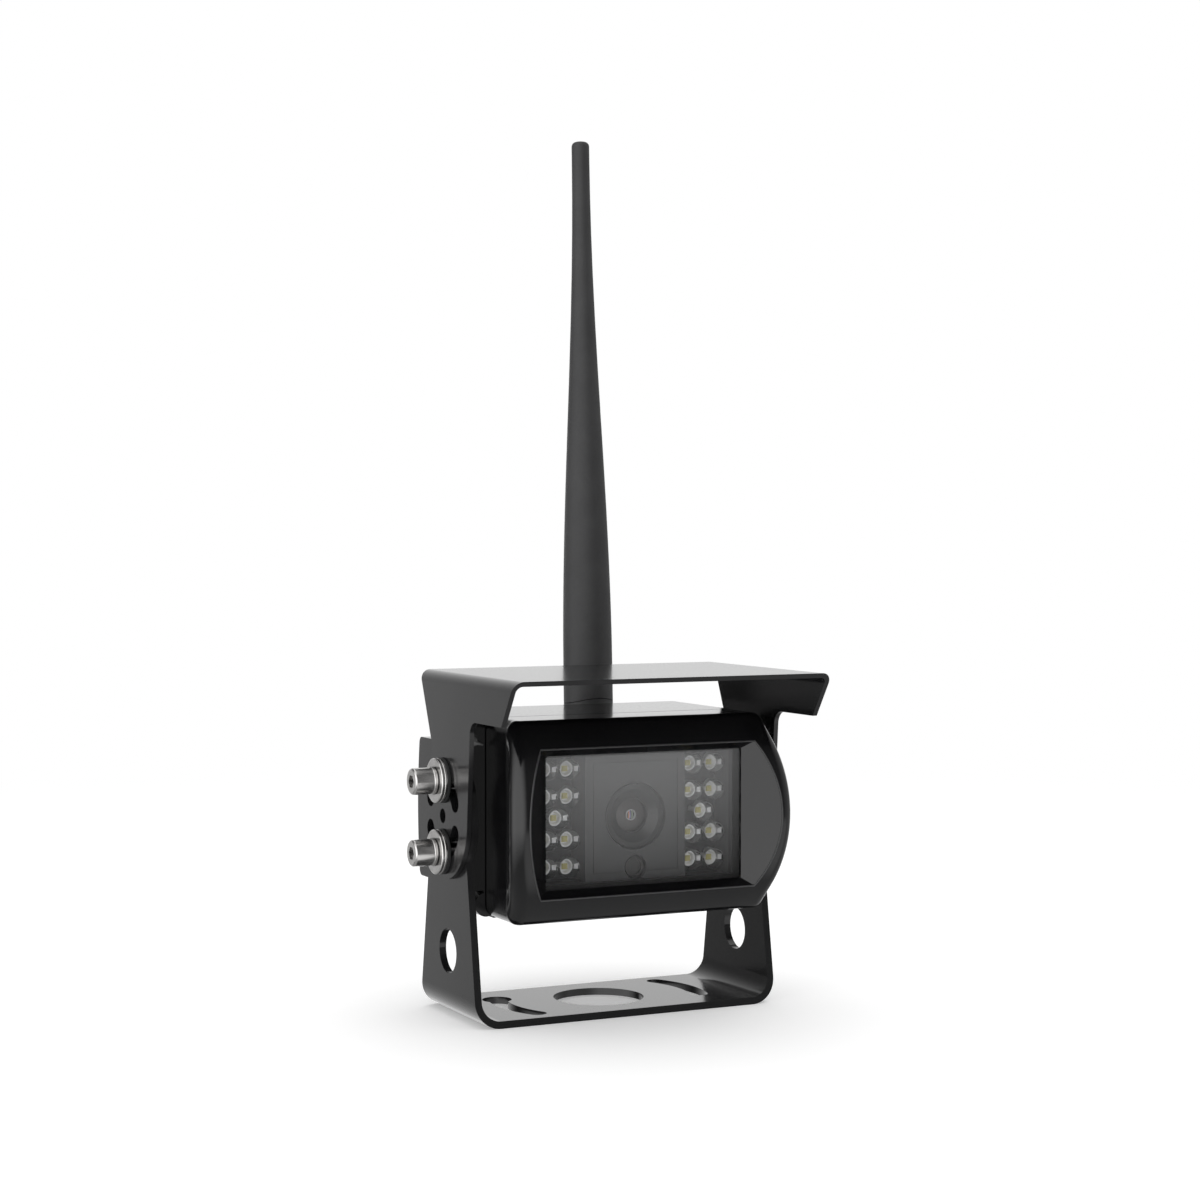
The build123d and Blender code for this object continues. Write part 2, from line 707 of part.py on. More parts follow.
def board_spacers():
    solids = []
    for sx, sz in CORNERS:
        x, z = sx * SPACER_AT, pivot_z + sz * SPACER_AT
        front = SENSOR_BOARD_Y + BOARD_T
        spacer = hex_y(x, z, SPACER_R, front, MAIN_BOARD_Y)
        solids.append(spacer - rod_y(x, z, SMALL_SCREW_R + FIT, front, front + SMALL_SCREW_BITE + FIT))
    return solids


def spacer_screws():
    grip = BOARD_T + SMALL_SCREW_BITE
    return [small_screw(sx * SPACER_AT, pivot_z + sz * SPACER_AT, SENSOR_BOARD_Y, False, grip)
            for sx, sz in CORNERS]


def main_board():
    half_w = cavity_half_w() - MAIN_BOARD_GAP
    half_h = cavity_half_h() - MAIN_BOARD_GAP
    board = board_outline(half_w, half_h, CAVITY_CORNER, MAIN_BOARD_Y, main_board_back_y)
    for sx, sz in CORNERS:
        board -= rod_y(sx * BOARD_BOSS_X, pivot_z + sz * BOARD_BOSS_Z, SMALL_SCREW_R + FIT,
                       MAIN_BOARD_Y, main_board_back_y)
    return board


def main_board_screws():
    grip = BOARD_T + SMALL_SCREW_BITE
    return [small_screw(sx * BOARD_BOSS_X, pivot_z + sz * BOARD_BOSS_Z, MAIN_BOARD_Y, False, grip)
            for sx, sz in CORNERS]


def radio_module():
    x0 = SENSOR_BOARD_HALF + PASS_GAP
    z0 = pivot_z - MODULE_H / 2
    return block(x0, x0 + MODULE_W, MAIN_BOARD_Y - MODULE_T, MAIN_BOARD_Y, z0, z0 + MODULE_H)


def board_header():
    x0 = SENSOR_BOARD_HALF + PASS_GAP
    z1 = pivot_z - HEADER_DROP
    return block(x0, x0 + HEADER_W, led_board_y + BOARD_T, MAIN_BOARD_Y, z1 - HEADER_H, z1)


# Rear housing

def cavity_half_w():
    return pad_half_w - HOUSING_SIDE_WALL


def cavity_half_h():
    return body_half_h - HOUSING_TOP_WALL


def housing_shell():
    """An eight-sided block with a rounded rear edge."""
    side = pad_half_w - PAD_DEPTH
    top = side - HOUSING_TOP_INSET
    low = HOUSING_SIDE_HALF_H
    points = [(side, low), (top, body_half_h), (-top, body_half_h), (-side, low),
              (-side, -low), (-top, -body_half_h), (top, -body_half_h), (side, -low)]
    rear = Plane((0, HOUSING_BACK_Y, pivot_z), x_dir=(1, 0, 0), z_dir=(0, -1, 0))
    shell = extrude(rear * Polygon(*points, align=None), amount=HOUSING_BACK_Y - housing_y)
    return fillet(shell.faces().sort_by(Axis.Y)[-1].edges(), HOUSING_REAR_R)


def bearing_pad():
    """The raised pad on the +X side that the bracket bears on, with a bowed rear edge."""
    rear, top = PAD_BACK_Y, PAD_HALF_H
    bow = ThreePointArc((rear, -top), (rear + PAD_BOW, 0), (rear, top))
    rest = Polyline((rear, top), (housing_y, top), (housing_y, -top), (rear, -top))
    outline = make_face(bow.edges() + rest.edges())
    corners = [v for v in outline.vertices() if abs(v.X - rear) < FIT]
    outline = fillet(corners, PAD_CORNER_R)
    return side_plate(Pos(0, pivot_z) * outline, pad_half_w - 2 * PAD_DEPTH, pad_half_w)


def rear_housing():
    shell = housing_shell()
    for pad in mirrored_pair(bearing_pad()):
        shell += pad
    lug_x = pad_half_w - LUG_INSET_X
    lug_z = body_half_h - LUG_INSET_Z
    for sx, sz in CORNERS:
        shell += rod_y(sx * lug_x, pivot_z + sz * lug_z, LUG_R, housing_y, housing_y + LUG_LEN)
    shell -= board_outline(cavity_half_w(), cavity_half_h(), CAVITY_CORNER, housing_y, cavity_back_y)
    for sx, sz in CORNERS:
        shell += rod_y(sx * BOARD_BOSS_X, pivot_z + sz * BOARD_BOSS_Z, BOARD_BOSS_R,
                       main_board_back_y, cavity_back_y)
        shell -= rod_y(sx * BOARD_BOSS_X, pivot_z + sz * BOARD_BOSS_Z, SMALL_SCREW_R + FIT,
                       main_board_back_y, main_board_back_y + SMALL_SCREW_BITE + FIT)
        shell -= housing_screw_hole(sx * screw_x, pivot_z + sz * screw_z)
        shell -= rod_x(0, pivot_z + sz * SLOT_R, bore_fit_r,
                       *sorted((sx * pad_half_w, sx * (pad_half_w - BOLT_BITE - FIT))))
    shell -= rod_y(ANTENNA_X, antenna_z, JACK_R + FIT, cavity_back_y, HOUSING_BACK_Y)
    return shell - rod_y(INLET_X, inlet_z, INLET_R + FIT, cavity_back_y, HOUSING_BACK_Y)


def housing_screw_hole(x, z):
    hole = rod_y(x, z, HOUSING_SCREW_R + FIT, housing_y, HOUSING_SCREW_SEAT)
    return hole + rod_y(x, z, HOUSING_SCREW_HEAD_R + PART_GAP, HOUSING_SCREW_SEAT, HOUSING_BACK_Y)


def housing_screws():
    solids = []
    for sx, sz in CORNERS:
        x, z = sx * screw_x, pivot_z + sz * screw_z
        head_end = HOUSING_SCREW_SEAT + HOUSING_SCREW_HEAD_T
        screw = rod_y(x, z, HOUSING_SCREW_HEAD_R, HOUSING_SCREW_SEAT, head_end)
        screw += rod_y(x, z, HOUSING_SCREW_R, BEZEL_BACK_Y - HOUSING_SCREW_BITE, HOUSING_SCREW_SEAT)
        slot_half = HOUSING_SCREW_SLOT_W / 2
        slot_y = head_end - HOUSING_SCREW_HEAD_T / 2
        screw -= block(x - HOUSING_SCREW_HEAD_R, x + HOUSING_SCREW_HEAD_R, slot_y, head_end,
                       z - slot_half, z + slot_half)
        solids.append(screw)
    return solids


def housing_gasket():
    """A flat ring in the split line, inside the bezel's outline and outside the screws' inner bosses."""
    half_w = bezel_half_w - BEZEL_TAPER - SPLIT_GASKET_INSET
    half_h = body_half_h - SPLIT_GASKET_INSET
    ring = board_outline(half_w, half_h, SPLIT_GASKET_CORNER, BEZEL_BACK_Y, housing_y)
    ring -= board_outline(board_pocket_half_w, board_pocket_half_h, BOARD_NOTCH, BEZEL_BACK_Y, housing_y)
    for sx, sz in CORNERS:
        ring -= rod_y(sx * screw_x, pivot_z + sz * screw_z, HOUSING_SCREW_R + FIT, BEZEL_BACK_Y, housing_y)
    return ring


# Antenna

def antenna_jack():
    x, z = ANTENNA_X, antenna_z
    tail_y = cavity_back_y - JACK_TAIL
    jack = rod_y(x, z, JACK_R, tail_y, jack_end_y)
    jack += hex_y(x, z, JACK_FLANGE_R, jack_flange_y, jack_flange_y + JACK_FLANGE_T)
    stub_y = knuckle_y - KNUCKLE_STUB_LEN
    return jack - rod_y(x, z, KNUCKLE_STUB_R + RUN_FIT, stub_y - PART_GAP, jack_end_y)


def jack_nut():
    nut = hex_y(ANTENNA_X, antenna_z, JACK_NUT_R, cavity_back_y - JACK_NUT_T, cavity_back_y)
    return nut - rod_y(ANTENNA_X, antenna_z, JACK_R + FIT, cavity_back_y - JACK_NUT_T, cavity_back_y)


def seal(x, z, bore_r):
    ring = rod_y(x, z, bore_r + SEAL_W, HOUSING_BACK_Y, jack_flange_y)
    return ring - rod_y(x, z, bore_r + FIT, HOUSING_BACK_Y, jack_flange_y)


def coupling_nut():
    """A knurled ring on the jack's thread."""
    x, z = ANTENNA_X, antenna_z
    nut = rod_y(x, z, COUPLING_R, coupling_y, coupling_end_y)
    step = 360 / KNURL_COUNT
    for index in range(KNURL_COUNT):
        angle = radians(index * step)
        nut -= rod_y(x + COUPLING_R * cos(angle), z + COUPLING_R * sin(angle), KNURL_R,
                     coupling_y, coupling_end_y)
    return nut - rod_y(x, z, JACK_R + FIT, coupling_y, coupling_end_y)


def antenna_knuckle():
    """A round body with a stub in the jack and a rounded tongue for the hinge pin."""
    x, z = ANTENNA_X, antenna_z
    half = TONGUE_W / 2
    body = rod_y(x, z, KNUCKLE_R, knuckle_y, knuckle_end_y)
    body += rod_y(x, z, KNUCKLE_STUB_R, knuckle_y - KNUCKLE_STUB_LEN, knuckle_y)
    tongue = block(x - half, x + half, knuckle_y, ANTENNA_PIN_Y, z - TONGUE_R, z + TONGUE_R)
    body += tongue & rod_y(x, z, KNUCKLE_R, knuckle_y, ANTENNA_PIN_Y)
    body += rod_x(ANTENNA_PIN_Y, z, TONGUE_R, x - half, x + half)
    return body - rod_x(ANTENNA_PIN_Y, z, PIN_R + RUN_FIT, x - half, x + half)


def at_pin(solid):
    """Place a mast piece, made upright with the pin at the origin, at the pin with its lean."""
    return Pos(ANTENNA_X, ANTENNA_PIN_Y, antenna_z) * Rot(-ANTENNA_LEAN, 0, 0) * solid


def rod_z(radius, z0, z1):
    return Pos(0, 0, (z0 + z1) / 2) * Cylinder(radius, z1 - z0)


def hinge_pin():
    return at_pin(rod_x(0, 0, PIN_R, -PIN_HALF_LEN, PIN_HALF_LEN))


def antenna_fork():
    """The round lower end of the mast: two cheeks on the pin and a spigot for the whip."""
    seam_top = rod_y(0, 0, SEAM_R, -ANTENNA_R, ANTENNA_R)
    fork = rod_z(ANTENNA_R, 0, SEAM_R) & seam_top
    fork += rod_z(ANTENNA_R, -ANTENNA_R, 0) & rod_x(0, 0, ANTENNA_R, -ANTENNA_R, ANTENNA_R)
    slot_half = TONGUE_W / 2 + FORK_SIDE_GAP
    slot_top = TONGUE_R + FORK_ROOM
    fork -= block(-slot_half, slot_half, -ANTENNA_R, ANTENNA_R, -ANTENNA_R, slot_top)
    fork += rod_z(SPIGOT_R, slot_top, SEAM_R + SPIGOT_LEN)
    return at_pin(fork - rod_x(0, 0, PIN_R + FIT / 2, -ANTENNA_R, ANTENNA_R))


def antenna_whip():
    """The long mast with an S-shaped taper, hollow for the spigot and the core."""
    low = SEAM_R * cos(radians(45))
    start = (ANTENNA_R, ANTENNA_TAPER_START)
    end = (ANTENNA_TIP_R, ANTENNA_LEN - ANTENNA_TAPER_END)
    pull = TAPER_PULL * (end[1] - start[1])
    taper = Bezier(start, (start[0], start[1] + pull), (end[0], end[1] - pull), end)
    tip = (ANTENNA_TIP_R, ANTENNA_LEN)
    rest = Polyline(end, tip, (0, ANTENNA_LEN), (0, low), (ANTENNA_R, low), start)
    profile = make_face(taper.edges() + rest.edges())
    profile = fillet(profile.vertices().sort_by_distance(tip)[0], ANTENNA_TIP_ROUND)
    whip = revolve(Plane.XZ * profile, axis=Axis.Z)
    whip -= rod_y(0, 0, SEAM_R + SEAM_GAP, -2 * ANTENNA_R, 2 * ANTENNA_R)
    whip -= rod_z(SPIGOT_R + FIT, low, SEAM_R + SPIGOT_LEN + FIT)
    return at_pin(whip - rod_z(CORE_R + FIT, low, ANTENNA_LEN - CORE_TIP + FIT))


def antenna_core():
    return at_pin(rod_z(CORE_R, SEAM_R + SPIGOT_LEN, ANTENNA_LEN - CORE_TIP))


def antenna_lead():
    return rod_y(ANTENNA_X, antenna_z, LEAD_R, main_board_back_y, cavity_back_y - JACK_TAIL)


# Power inlet

def power_inlet():
    x, z = INLET_X, inlet_z
    tail_y = cavity_back_y - INLET_TAIL
    flange_end = jack_flange_y + INLET_FLANGE_T
    inlet = rod_y(x, z, INLET_R, tail_y, inlet_end_y)
    inlet += hex_y(x, z, INLET_FLANGE_R, jack_flange_y, flange_end)
    inlet -= rod_y(x, z, INLET_BORE_R, jack_flange_y + INLET_FLOOR, inlet_end_y)
    for px, pz in inlet_pin_places():
        inlet -= rod_y(px, pz, INLET_PIN_R + FIT, tail_y, inlet_end_y)
    return inlet


def inlet_pin_places():
    step = 360 / INLET_PIN_COUNT
    angles = [radians(step * (index + 0.5)) for index in range(INLET_PIN_COUNT)]
    return [(INLET_X + INLET_PIN_CIRCLE * cos(a), inlet_z + INLET_PIN_CIRCLE * sin(a)) for a in angles]


def inlet_pins():
    tail_y = cavity_back_y - INLET_TAIL
    end_y = jack_flange_y + INLET_FLOOR + INLET_PIN_LEN
    return [rod_y(px, pz, INLET_PIN_R, tail_y, end_y) for px, pz in inlet_pin_places()]


def inlet_nut():
    nut = hex_y(INLET_X, inlet_z, INLET_NUT_R, cavity_back_y - INLET_NUT_T, cavity_back_y)
    return nut - rod_y(INLET_X, inlet_z, INLET_R + FIT, cavity_back_y - INLET_NUT_T, cavity_back_y)


def inlet_wires():
    tail_y = cavity_back_y - INLET_TAIL
    return [rod_y(px, pz, INLET_PIN_R, main_board_back_y, tail_y) for px, pz in inlet_pin_places()]


# Every node, by name

NODES = {
    "u_bracket": u_bracket(),
    "sun_visor": sun_visor(),
    "pivot_bolts": at_pivots(pivot_bolt),
    "spring_washers": at_pivots(spring_washer),
    "flat_washers": flat_washers(),
    "fibre_washers": at_pivots(fibre_washer),
    "front_bezel": front_bezel(),
    "window_glass": window_glass(),
    "window_gasket": window_ring(WINDOW_GASKET_LAP, glass_back_y, gasket_back_y),
    "window_frame": window_ring(FRAME_LAP, gasket_back_y, led_board_y),
    "lens_panel": lens_panel(),
    "lens_barrel": lens_barrel(),
    "lens_element": lens_element(),
    "lens_holder": lens_holder(),
    "photocell": photocell(),
    "led_board": led_board(),
    "led_board_screws": led_board_screws(),
    "led_domes": at_leds(led_dome),
    "led_cups": at_leds(led_cup),
    "led_posts": at_leds(led_post),
    "led_dies": at_leds(led_die),
    "image_sensor": image_sensor(),
    "sensor_board": sensor_board(),
    "spacer_screws": spacer_screws(),
    "board_spacers": board_spacers(),
    "main_board": main_board(),
    "main_board_screws": main_board_screws(),
    "radio_module": radio_module(),
    "board_header": board_header(),
    "housing_gasket": housing_gasket(),
    "rear_housing": rear_housing(),
    "housing_screws": housing_screws(),
    "antenna_jack": antenna_jack(),
    "jack_nut": jack_nut(),
    "jack_seal": seal(ANTENNA_X, antenna_z, JACK_R),
    "coupling_nut": coupling_nut(),
    "antenna_knuckle": antenna_knuckle(),
    "hinge_pin": hinge_pin(),
    "antenna_fork": antenna_fork(),
    "antenna_whip": antenna_whip(),
    "antenna_core": antenna_core(),
    "antenna_lead": antenna_lead(),
    "power_inlet": power_inlet(),
    "inlet_seal": seal(INLET_X, inlet_z, INLET_R),
    "inlet_nut": inlet_nut(),
    "inlet_pins": inlet_pins(),
    "inlet_wires": inlet_wires(),
}

os.makedirs("parts", exist_ok=True)
for name, shape in NODES.items():
    if isinstance(shape, list):
        shape = Compound(children=shape)
    export_step(shape, f"parts/{name}.step")
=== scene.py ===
import json
from math import cos, pi, radians, sin

import bmesh
import bpy
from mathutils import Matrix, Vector


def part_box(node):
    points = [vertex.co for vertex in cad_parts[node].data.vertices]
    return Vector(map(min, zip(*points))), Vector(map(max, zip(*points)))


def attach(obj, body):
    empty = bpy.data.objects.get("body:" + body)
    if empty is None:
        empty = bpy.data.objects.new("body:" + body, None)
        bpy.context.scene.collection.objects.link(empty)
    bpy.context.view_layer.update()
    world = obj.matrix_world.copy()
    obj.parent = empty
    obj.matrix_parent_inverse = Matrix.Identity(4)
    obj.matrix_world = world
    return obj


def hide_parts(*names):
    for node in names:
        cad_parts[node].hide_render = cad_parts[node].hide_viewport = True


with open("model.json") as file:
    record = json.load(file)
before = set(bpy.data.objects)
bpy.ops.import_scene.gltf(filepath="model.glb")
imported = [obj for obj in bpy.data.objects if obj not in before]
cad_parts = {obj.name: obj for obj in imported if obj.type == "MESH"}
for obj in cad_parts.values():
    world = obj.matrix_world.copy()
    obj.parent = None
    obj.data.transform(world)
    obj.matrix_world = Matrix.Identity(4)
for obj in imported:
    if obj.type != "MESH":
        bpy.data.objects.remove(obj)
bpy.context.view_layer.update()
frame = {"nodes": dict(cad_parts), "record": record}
nodes = frame["nodes"]

# Pieces are sized in millimetres, the studio in metres
MM = 0.001


# Shader building blocks

NOISE_DETAIL = 3.0
NOISE_SPAN = (0.3, 0.7)
WHITE = (1.0, 1.0, 1.0, 1.0)


def new_material(name, color, roughness, **sockets):
    """A Principled material with constant sockets; returns its material, tree and shader."""
    material = bpy.data.materials.new(name)
    material.use_nodes = True
    tree = material.node_tree
    bsdf = tree.nodes["Principled BSDF"]
    bsdf.inputs["Base Color"].default_value = (*color, 1.0)
    bsdf.inputs["Roughness"].default_value = roughness
    for socket, value in sockets.items():
        bsdf.inputs[socket.replace("_", " ")].default_value = value
    return material, tree, bsdf


def object_coords(tree, stretch=(1, 1, 1)):
    """Places in the object's own frame, scaled along each axis by stretch."""
    coords = tree.nodes.new("ShaderNodeTexCoord")
    mapping = tree.nodes.new("ShaderNodeMapping")
    mapping.inputs["Scale"].default_value = stretch
    tree.links.new(coords.outputs["Object"], mapping.inputs["Vector"])
    return mapping.outputs["Vector"]


def coordinate(tree, vector, axis):
    """One coordinate of a vector."""
    split = tree.nodes.new("ShaderNodeSeparateXYZ")
    tree.links.new(vector, split.inputs["Vector"])
    return split.outputs[axis]


def noise(tree, size_mm, stretch=(1, 1, 1)):
    """Noise with features about size_mm across."""
    texture = tree.nodes.new("ShaderNodeTexNoise")
    texture.inputs["Scale"].default_value = 1.0 / (size_mm * MM)
    texture.inputs["Detail"].default_value = NOISE_DETAIL
    tree.links.new(object_coords(tree, stretch), texture.inputs["Vector"])
    return texture.outputs["Fac"]


def map_range(tree, value, span, result, smooth=False):
    """A node that maps value from span onto result and holds it at the ends."""
    node = tree.nodes.new("ShaderNodeMapRange")
    if smooth:
        node.interpolation_type = "SMOOTHSTEP"
    node.inputs["From Min"].default_value, node.inputs["From Max"].default_value = span
    node.inputs["To Min"].default_value, node.inputs["To Max"].default_value = result
    tree.links.new(value, node.inputs["Value"])
    return node


def spread(tree, value, low, high):
    """Maps the middle of a value's range, where noise keeps, onto low to high."""
    return map_range(tree, value, NOISE_SPAN, (low, high)).outputs["Result"]


def color_mix(tree, value):
    """A colour mix that goes from A to B over the middle of a value's range."""
    mix = tree.nodes.new("ShaderNodeMix")
    mix.data_type = "RGBA"
    tree.links.new(spread(tree, value, 0.0, 1.0), mix.inputs["Factor"])
    return mix


def tint(tree, value, dark, light):
    """A colour between dark and light that follows noise."""
    mix = color_mix(tree, value)
    mix.inputs["A"].default_value = (*dark, 1.0)
    mix.inputs["B"].default_value = (*light, 1.0)
    return mix.outputs["Result"]


def ramp(tree, value, stops):
    """A colour ramp through (place, colour) stops."""
    node = tree.nodes.new("ShaderNodeValToRGB")
    points = node.color_ramp.elements
    points.remove(points[1])
    first_place, first_color = stops[0]
    points[0].position = first_place
    points[0].color = (*first_color, 1.0)
    for place, color in stops[1:]:
        points.new(place).color = (*color, 1.0)
    tree.links.new(value, node.inputs["Fac"])
    return node.outputs["Color"]


def bump(tree, bsdf, height, depth_mm, strength):
    """Relief in the shader's normal, depth_mm deep."""
    node = tree.nodes.new("ShaderNodeBump")
    node.inputs["Strength"].default_value = strength
    node.inputs["Distance"].default_value = depth_mm * MM
    tree.links.new(height, node.inputs["Height"])
    tree.links.new(node.outputs["Normal"], bsdf.inputs["Normal"])


def larger(tree, first, second):
    """The larger of two values."""
    node = tree.nodes.new("ShaderNodeMath")
    node.operation = "MAXIMUM"
    tree.links.new(first, node.inputs[0])
    tree.links.new(second, node.inputs[1])
    return node.outputs["Value"]


def blend(tree, factor, first, second):
    """A shader that goes from first to second as factor goes from 0 to 1."""
    node = tree.nodes.new("ShaderNodeMixShader")
    tree.links.new(factor, node.inputs["Fac"])
    tree.links.new(first, node.inputs[1])
    tree.links.new(second, node.inputs[2])
    return node.outputs["Shader"]


def grained(name, dark, light, rough, patch_mm, grain_mm, depth_mm, strength,
            stretch=(1, 1, 1), **sockets):
    """A surface whose colour drifts over patch_mm and whose gloss and relief have a grain of grain_mm."""
    material, tree, bsdf = new_material(name, light, rough[0], **sockets)
    tree.links.new(tint(tree, noise(tree, patch_mm), dark, light), bsdf.inputs["Base Color"])
    grain = noise(tree, grain_mm, stretch)
    tree.links.new(spread(tree, grain, *rough), bsdf.inputs["Roughness"])
    bump(tree, bsdf, grain, depth_mm, strength)
    return material


# Plain looks of the material slots and of the pieces that are added here

PLAIN_LOOKS = {
    "coated_sheet": dict(dark=(0.009, 0.009, 0.0095), light=(0.012, 0.012, 0.0125), rough=(0.15, 0.20),
                         patch_mm=14.0, grain_mm=0.45, depth_mm=0.02, strength=0.05),
    "gloss_body": dict(dark=(0.004, 0.004, 0.0045), light=(0.006, 0.006, 0.0065), rough=(0.13, 0.17),
                       patch_mm=18.0, grain_mm=0.9, depth_mm=0.02, strength=0.05),
    # Lighter than the gloss body: the painted highlight of the bead on the recess edge
    "painted_rim_highlight": dict(dark=(0.040, 0.040, 0.041), light=(0.052, 0.052, 0.053), rough=(0.25, 0.35),
                     patch_mm=4.0, grain_mm=0.3, depth_mm=0.01, strength=0.05),
    "fibre": dict(dark=(0.012, 0.012, 0.012), light=(0.022, 0.022, 0.022), rough=(0.55, 0.75),
                  patch_mm=1.5, grain_mm=0.2, depth_mm=0.03, strength=0.4),
    "gasket": dict(dark=(0.006, 0.006, 0.006), light=(0.011, 0.011, 0.011), rough=(0.5, 0.7),
                   patch_mm=3.0, grain_mm=0.25, depth_mm=0.02, strength=0.3),
    "dark_plastic": dict(dark=(0.03, 0.03, 0.031), light=(0.042, 0.042, 0.043), rough=(0.4, 0.55),
                         patch_mm=5.0, grain_mm=0.2, depth_mm=0.02, strength=0.3),
    "panel_plastic": dict(dark=(0.046, 0.046, 0.047), light=(0.053, 0.053, 0.054), rough=(0.5, 0.62),
                          patch_mm=6.0, grain_mm=0.15, depth_mm=0.015, strength=0.05,
                          Specular_IOR_Level=0.12),
    "lens_metal": dict(dark=(0.004, 0.004, 0.0045), light=(0.007, 0.007, 0.0075), rough=(0.34, 0.44),
                       patch_mm=4.0, grain_mm=0.12, depth_mm=0.01, strength=0.08, Specular_IOR_Level=0.4),
    "lens_stop": dict(dark=(0.024, 0.021, 0.020), light=(0.030, 0.026, 0.025), rough=(0.4, 0.5),
                      patch_mm=2.0, grain_mm=0.2, depth_mm=0.01, strength=0.1),
    "lens_ring": dict(dark=(0.38, 0.39, 0.40), light=(0.48, 0.49, 0.50), rough=(0.25, 0.35),
                      patch_mm=0.6, grain_mm=0.1, depth_mm=0.01, strength=0.1),
    "photocell_body": dict(dark=(0.010, 0.010, 0.009), light=(0.016, 0.015, 0.014), rough=(0.3, 0.4),
                           patch_mm=2.0, grain_mm=0.4, depth_mm=0.01, strength=0.2),
    "board": dict(dark=(0.01, 0.055, 0.022), light=(0.016, 0.085, 0.035), rough=(0.3, 0.42),
                  patch_mm=2.5, grain_mm=0.3, depth_mm=0.02, strength=0.3),
    "board_black": dict(dark=(0.005, 0.005, 0.0055), light=(0.009, 0.009, 0.0095), rough=(0.4, 0.55),
                        patch_mm=2.5, grain_mm=0.3, depth_mm=0.02, strength=0.3, Specular_IOR_Level=0.25),
    "chip": dict(dark=(0.014, 0.014, 0.015), light=(0.022, 0.022, 0.024), rough=(0.3, 0.42),
                 patch_mm=1.2, grain_mm=0.12, depth_mm=0.01, strength=0.2),
    "shield_can": dict(dark=(0.5, 0.5, 0.5), light=(0.62, 0.62, 0.61), rough=(0.28, 0.4),
                       patch_mm=3.0, grain_mm=0.4, depth_mm=0.01, strength=0.2, Metallic=1.0),
    "connector_metal": dict(dark=(0.62, 0.44, 0.17), light=(0.74, 0.55, 0.25), rough=(0.22, 0.34),
                            patch_mm=2.0, grain_mm=0.4, depth_mm=0.01, strength=0.15, Metallic=1.0),
    "antenna_plastic": dict(dark=(0.026, 0.026, 0.027), light=(0.036, 0.036, 0.037), rough=(0.5, 0.66),
                            patch_mm=9.0, grain_mm=0.22, depth_mm=0.05, strength=0.5),
    "antenna_wire": dict(dark=(0.6, 0.36, 0.18), light=(0.72, 0.46, 0.26), rough=(0.25, 0.4),
                         patch_mm=2.0, grain_mm=0.4, depth_mm=0.01, strength=0.2, Metallic=1.0),
    "wire_sleeve": dict(dark=(0.22, 0.03, 0.025), light=(0.3, 0.045, 0.035), rough=(0.35, 0.5),
                        patch_mm=1.5, grain_mm=0.2, depth_mm=0.01, strength=0.2),
    "lead_sleeve": dict(dark=(0.03, 0.03, 0.03), light=(0.045, 0.045, 0.045), rough=(0.4, 0.55),
                        patch_mm=1.5, grain_mm=0.2, depth_mm=0.01, strength=0.2),
    "led_metal": dict(dark=(0.60, 0.60, 0.59), light=(0.72, 0.72, 0.71), rough=(0.35, 0.5),
                      patch_mm=0.6, grain_mm=0.2, depth_mm=0.01, strength=0.1, Metallic=0.25),
    "led_die": dict(dark=(0.36, 0.32, 0.09), light=(0.48, 0.43, 0.15), rough=(0.3, 0.5),
                    patch_mm=0.3, grain_mm=0.1, depth_mm=0.01, strength=0.2),
}


# Steel of the bolts, washers and screws

STEEL_HOLLOW_MM = 2.0
# Colour of the painted shade that the steel takes in its sockets and joints
STEEL_PAINTED_SHADE = (0.07, 0.07, 0.07)


def steel_material():
    """Bright turned steel with painted shade: its colour goes dark in its sockets and in the joints
    between washers.
    """
    material = grained("steel", dark=(0.56, 0.55, 0.54), light=(0.66, 0.65, 0.64), rough=(0.20, 0.26),
                       patch_mm=2.0, grain_mm=0.4, depth_mm=0.01, strength=0.05, stretch=(8, 1, 1),
                       Metallic=1.0)
    tree = material.node_tree
    color = tree.nodes["Principled BSDF"].inputs["Base Color"]
    bright = color.links[0].from_socket
    # Painted shade: ambient occlusion pulls the base colour towards the shade colour in sockets and
    # between washers
    hollow = tree.nodes.new("ShaderNodeAmbientOcclusion")
    hollow.inputs["Distance"].default_value = STEEL_HOLLOW_MM * MM
    painted_shade = color_mix(tree, hollow.outputs["AO"])
    painted_shade.inputs["A"].default_value = (*STEEL_PAINTED_SHADE, 1.0)
    tree.links.new(bright, painted_shade.inputs["B"])
    tree.links.new(painted_shade.outputs["Result"], color)
    return material


# Window, LED resin and lens glass

# Pale colour that the window's alpha lays over the glass as a painted reflection
WINDOW_PAINTED_REFLECTION_COLOR = (0.97, 0.975, 0.98)
WINDOW_ROUGH = (0.045, 0.07)
WINDOW_SMEAR_MM = 9.0
# How opaque the painted reflection is at the window's bottom and top edges
PAINTED_REFLECTION_LOW = 0.010
PAINTED_REFLECTION_HIGH = 0.100


def window_material():
    """Clear glass with a painted reflection: a pale layer that thickens towards its top edge."""
    material, tree, bsdf = new_material("window", WINDOW_PAINTED_REFLECTION_COLOR, WINDOW_ROUGH[0])
    heights = [vertex.co.z for vertex in nodes["window_glass"].data.vertices]
    height = coordinate(tree, object_coords(tree), "Z")
    # Painted reflection: the pale layer grows more opaque towards the window's top edge
    painted_reflection = map_range(tree, height, (min(heights), max(heights)), (PAINTED_REFLECTION_LOW, PAINTED_REFLECTION_HIGH))
    tree.links.new(painted_reflection.outputs["Result"], bsdf.inputs["Alpha"])
    smear = noise(tree, WINDOW_SMEAR_MM)
    tree.links.new(spread(tree, smear, *WINDOW_ROUGH), bsdf.inputs["Roughness"])
    return material


RESIN_COLOR = (0.9, 0.92, 0.95)
RESIN_RIPPLE_MM = 1.6


